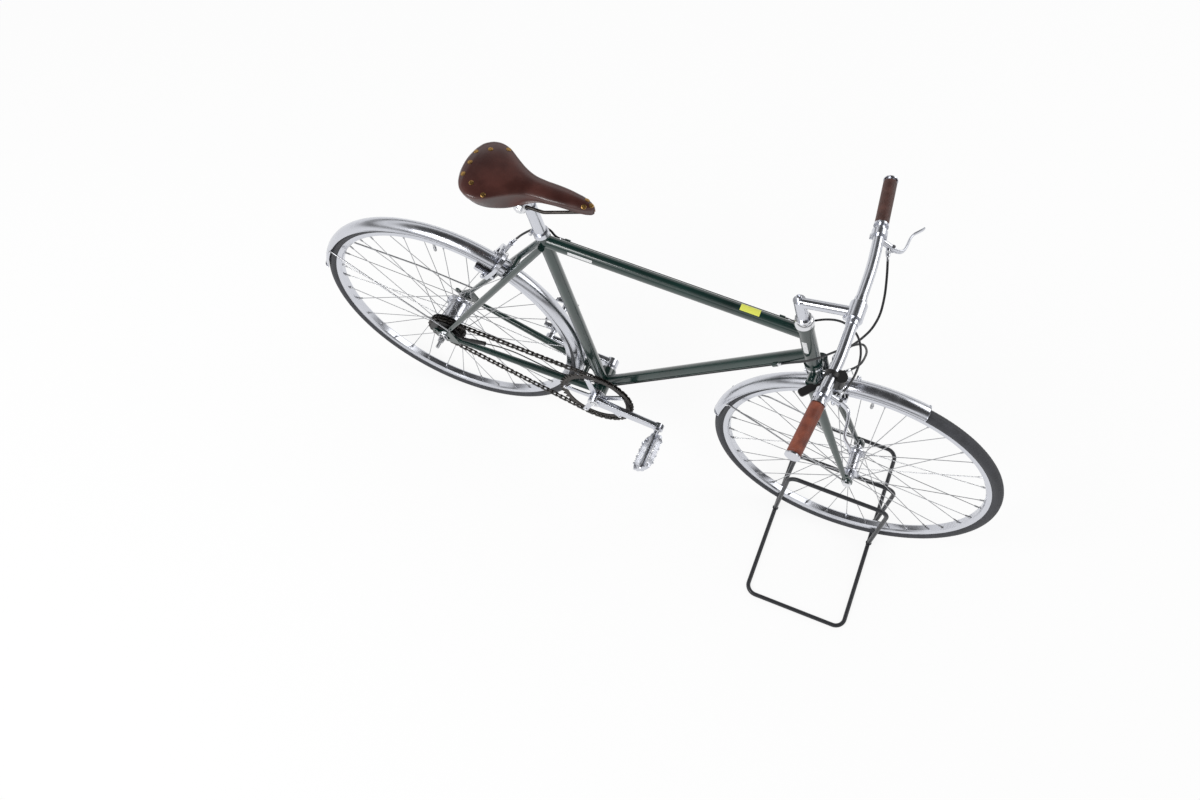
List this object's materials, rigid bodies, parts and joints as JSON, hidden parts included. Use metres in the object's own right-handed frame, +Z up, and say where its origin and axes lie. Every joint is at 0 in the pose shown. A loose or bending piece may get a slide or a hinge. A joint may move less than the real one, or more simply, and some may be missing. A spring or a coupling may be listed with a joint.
{
  "type": "city bicycle",
  "caption": "Light city bicycle with a level top tube, fenders, hub gear, leather saddle and calliper brakes, held upright by a low wire floor stand round its front wheel.",
  "frame": {"origin": "on the floor, under the middle of the whole bicycle's length and of its handlebar's width", "axes": "+X forward, +Y to the rider's left, +Z up"},
  "size_m": [1.715, 0.671, 0.9805],
  "materials": {
    "frame_paint": "gloss dark green enamel",
    "polished_metal": "polished aluminium",
    "chrome_metal": "chrome plate",
    "steel": "plain steel",
    "dark_steel": "dark oiled steel",
    "tyre_rubber": "matt black tyre rubber",
    "black_rubber": "matt black rubber",
    "black_plastic": "matt black plastic",
    "saddle_hide": "dark chestnut leather",
    "grip_hide": "stitched brown leather",
    "cable_jacket": "smooth black cable jacket",
    "stand_coat": "black powder coat"
  },
  "bodies": {
    "frame": {"main_frame": "frame_paint", "rear_stays": "frame_paint", "headset_cups": "chrome_metal", "bearing_cups": "steel", "seat_clamp": "polished_metal", "seatpost": "polished_metal", "saddle_frame": "dark_steel", "saddle_leather": "saddle_hide", "rear_brake_calliper": "polished_metal", "rear_brake_pads": "black_rubber", "rear_fender": "polished_metal", "rear_fender_stays": "steel", "rear_axle_pin": "steel", "hub_shift_unit": "black_plastic", "chain": "dark_steel", "rear_brake_cable": "cable_jacket", "shift_cable": "cable_jacket"},
    "steering": {"fork": "frame_paint", "headset_top": "chrome_metal", "stem": "polished_metal", "handlebar": "polished_metal", "left_grip": "grip_hide", "right_grip": "grip_hide", "left_grip_ends": "polished_metal", "right_grip_ends": "polished_metal", "left_lever_bracket": "polished_metal", "right_lever_bracket": "polished_metal", "left_brake_lever": "polished_metal", "right_brake_lever": "polished_metal", "shifter": "black_plastic", "front_brake_calliper": "polished_metal", "front_brake_pads": "black_rubber", "front_fender": "polished_metal", "front_fender_stays": "steel", "front_axle_pin": "steel", "stand_base": "stand_coat", "left_stand_hoop": "stand_coat", "right_stand_hoop": "stand_coat", "front_brake_cable": "cable_jacket", "rear_brake_housing": "cable_jacket", "shift_housing": "cable_jacket"},
    "front_wheel": {"front_tyre": "tyre_rubber", "front_rim": "polished_metal", "front_spokes": "steel", "front_hub": "polished_metal"},
    "rear_wheel": {"rear_tyre": "tyre_rubber", "rear_rim": "polished_metal", "rear_spokes": "steel", "rear_hub": "polished_metal", "rear_sprocket": "dark_steel", "sprocket_guard": "black_plastic"},
    "crank": {"right_crank": "polished_metal", "left_crank": "polished_metal", "chainring": "dark_steel", "crank_spindle": "steel"},
    "right_pedal": {"right_pedal": "polished_metal"},
    "left_pedal": {"left_pedal": "polished_metal"}
  },
  "joints": [
    {"name": "steering", "type": "hinge", "parent": "frame", "child": "steering", "pos_m": [0.4765, 0, 0.32622], "axis": [-0.3322, 0, 0.9432], "range_deg": [-60, 60], "deforming": ["rear_brake_housing", "shift_housing"]},
    {"name": "front_wheel_spin", "type": "hinge", "parent": "steering", "child": "front_wheel", "pos_m": [0.51706, 0, 0.3405], "axis": [0, 1, 0], "continuous": true},
    {"name": "rear_wheel_spin", "type": "hinge", "parent": "frame", "child": "rear_wheel", "pos_m": [-0.51294, 0, 0.3405], "axis": [0, 1, 0], "continuous": true},
    {"name": "crank_spin", "type": "hinge", "parent": "frame", "child": "crank", "pos_m": [-0.11344, 0, 0.2815], "axis": [0, 1, 0], "continuous": true},
    {"name": "right_pedal_spin", "type": "hinge", "parent": "crank", "child": "right_pedal", "pos_m": [0.05656, -0.135, 0.2815], "axis": [0, 1, 0], "continuous": true},
    {"name": "left_pedal_spin", "type": "hinge", "parent": "crank", "child": "left_pedal", "pos_m": [-0.28344, 0.135, 0.2815], "axis": [0, 1, 0], "continuous": true}
  ]
}
